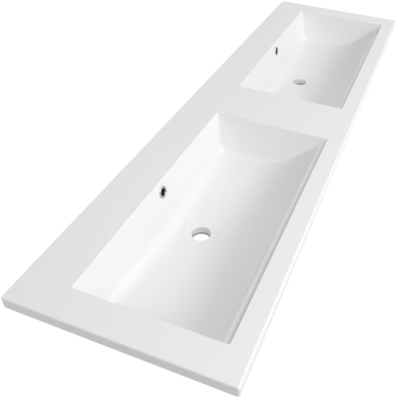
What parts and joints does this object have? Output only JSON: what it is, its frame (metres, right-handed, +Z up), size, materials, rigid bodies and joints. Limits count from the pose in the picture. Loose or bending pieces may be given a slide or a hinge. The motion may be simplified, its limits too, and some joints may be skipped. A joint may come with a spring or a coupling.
{
  "type": "double washbasin",
  "caption": "Long white cast washbasin slab with twin rectangular bowls, sloped fronts, open waste holes and chrome overflow rings, to lie on a cabinet.",
  "frame": {"origin": "under the middle of the slab, at the level of the waste bosses' lower faces", "axes": "+X along the slab to the right as seen from the front, +Y to the back, +Z up out of the bowls"},
  "size_m": [1.6, 0.46, 0.15],
  "materials": {
    "casting": "smooth high gloss, white",
    "ring": "polished chrome plate",
    "seal": "matt, translucent grey",
    "duct": "satin moulded white",
    "insert": "turned, bare"
  },
  "bodies": {
    "root": {"basin_top": "casting", "overflow_ring_left": "ring", "overflow_ring_right": "ring", "overflow_seal_left": "seal", "overflow_seal_right": "seal", "overflow_duct_left": "duct", "overflow_duct_right": "duct", "fixing_inserts": "insert"}
  },
  "joints": []
}
